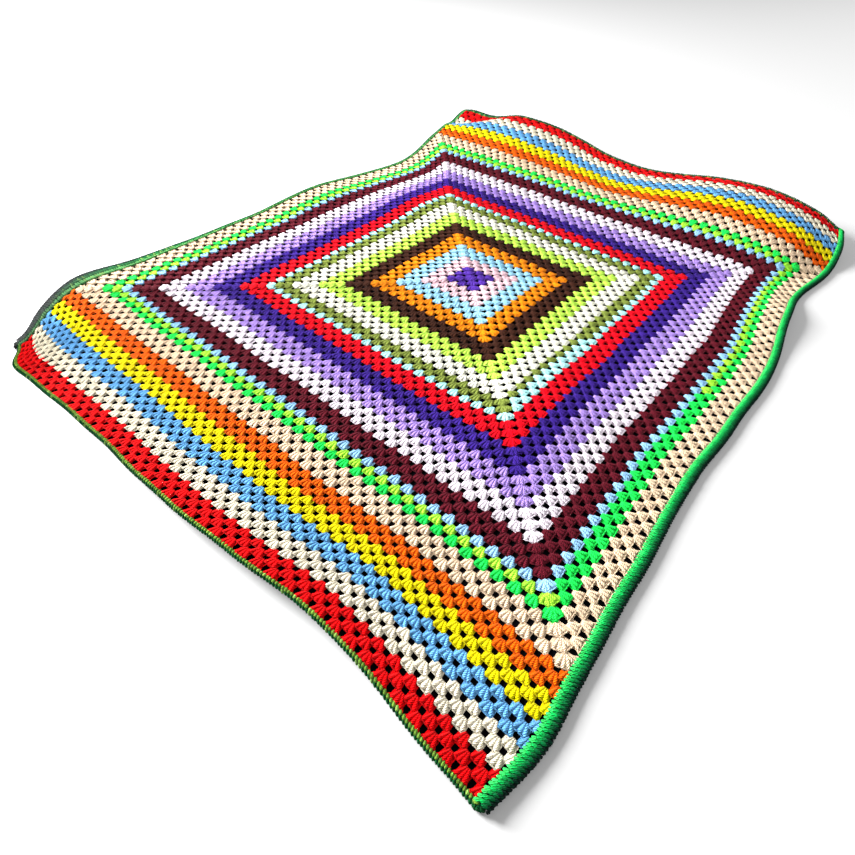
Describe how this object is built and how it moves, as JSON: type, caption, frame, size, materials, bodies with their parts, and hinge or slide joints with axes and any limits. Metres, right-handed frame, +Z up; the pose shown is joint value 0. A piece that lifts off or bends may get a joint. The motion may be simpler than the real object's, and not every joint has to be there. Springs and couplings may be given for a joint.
{
  "type": "granny square blanket",
  "caption": "Crocheted lap blanket: a square worked in striped rounds, a striped band on two sides and a corded edging, lying loose in soft folds.",
  "frame": {"origin": "middle of the bottom of the blanket's box, on the surface it lies on", "axes": "+Z up, +Y along the blanket from its near end to its raised far end, +X across it"},
  "size_m": [1.1094, 1.4068, 0.0708],
  "materials": {
    "square_yarn": "matt acrylic or wool yarn in treble clusters, in striped rounds of many colours",
    "end_band_yarn": "matt acrylic or wool yarn in treble clusters, in straight striped rows",
    "edging_yarn": "matt variegated green yarn in tight short stitches"
  },
  "bodies": {
    "root": {"granny_square": "square_yarn", "near_end_band": "end_band_yarn", "far_end_band": "end_band_yarn", "edging": "edging_yarn"}
  },
  "joints": []
}
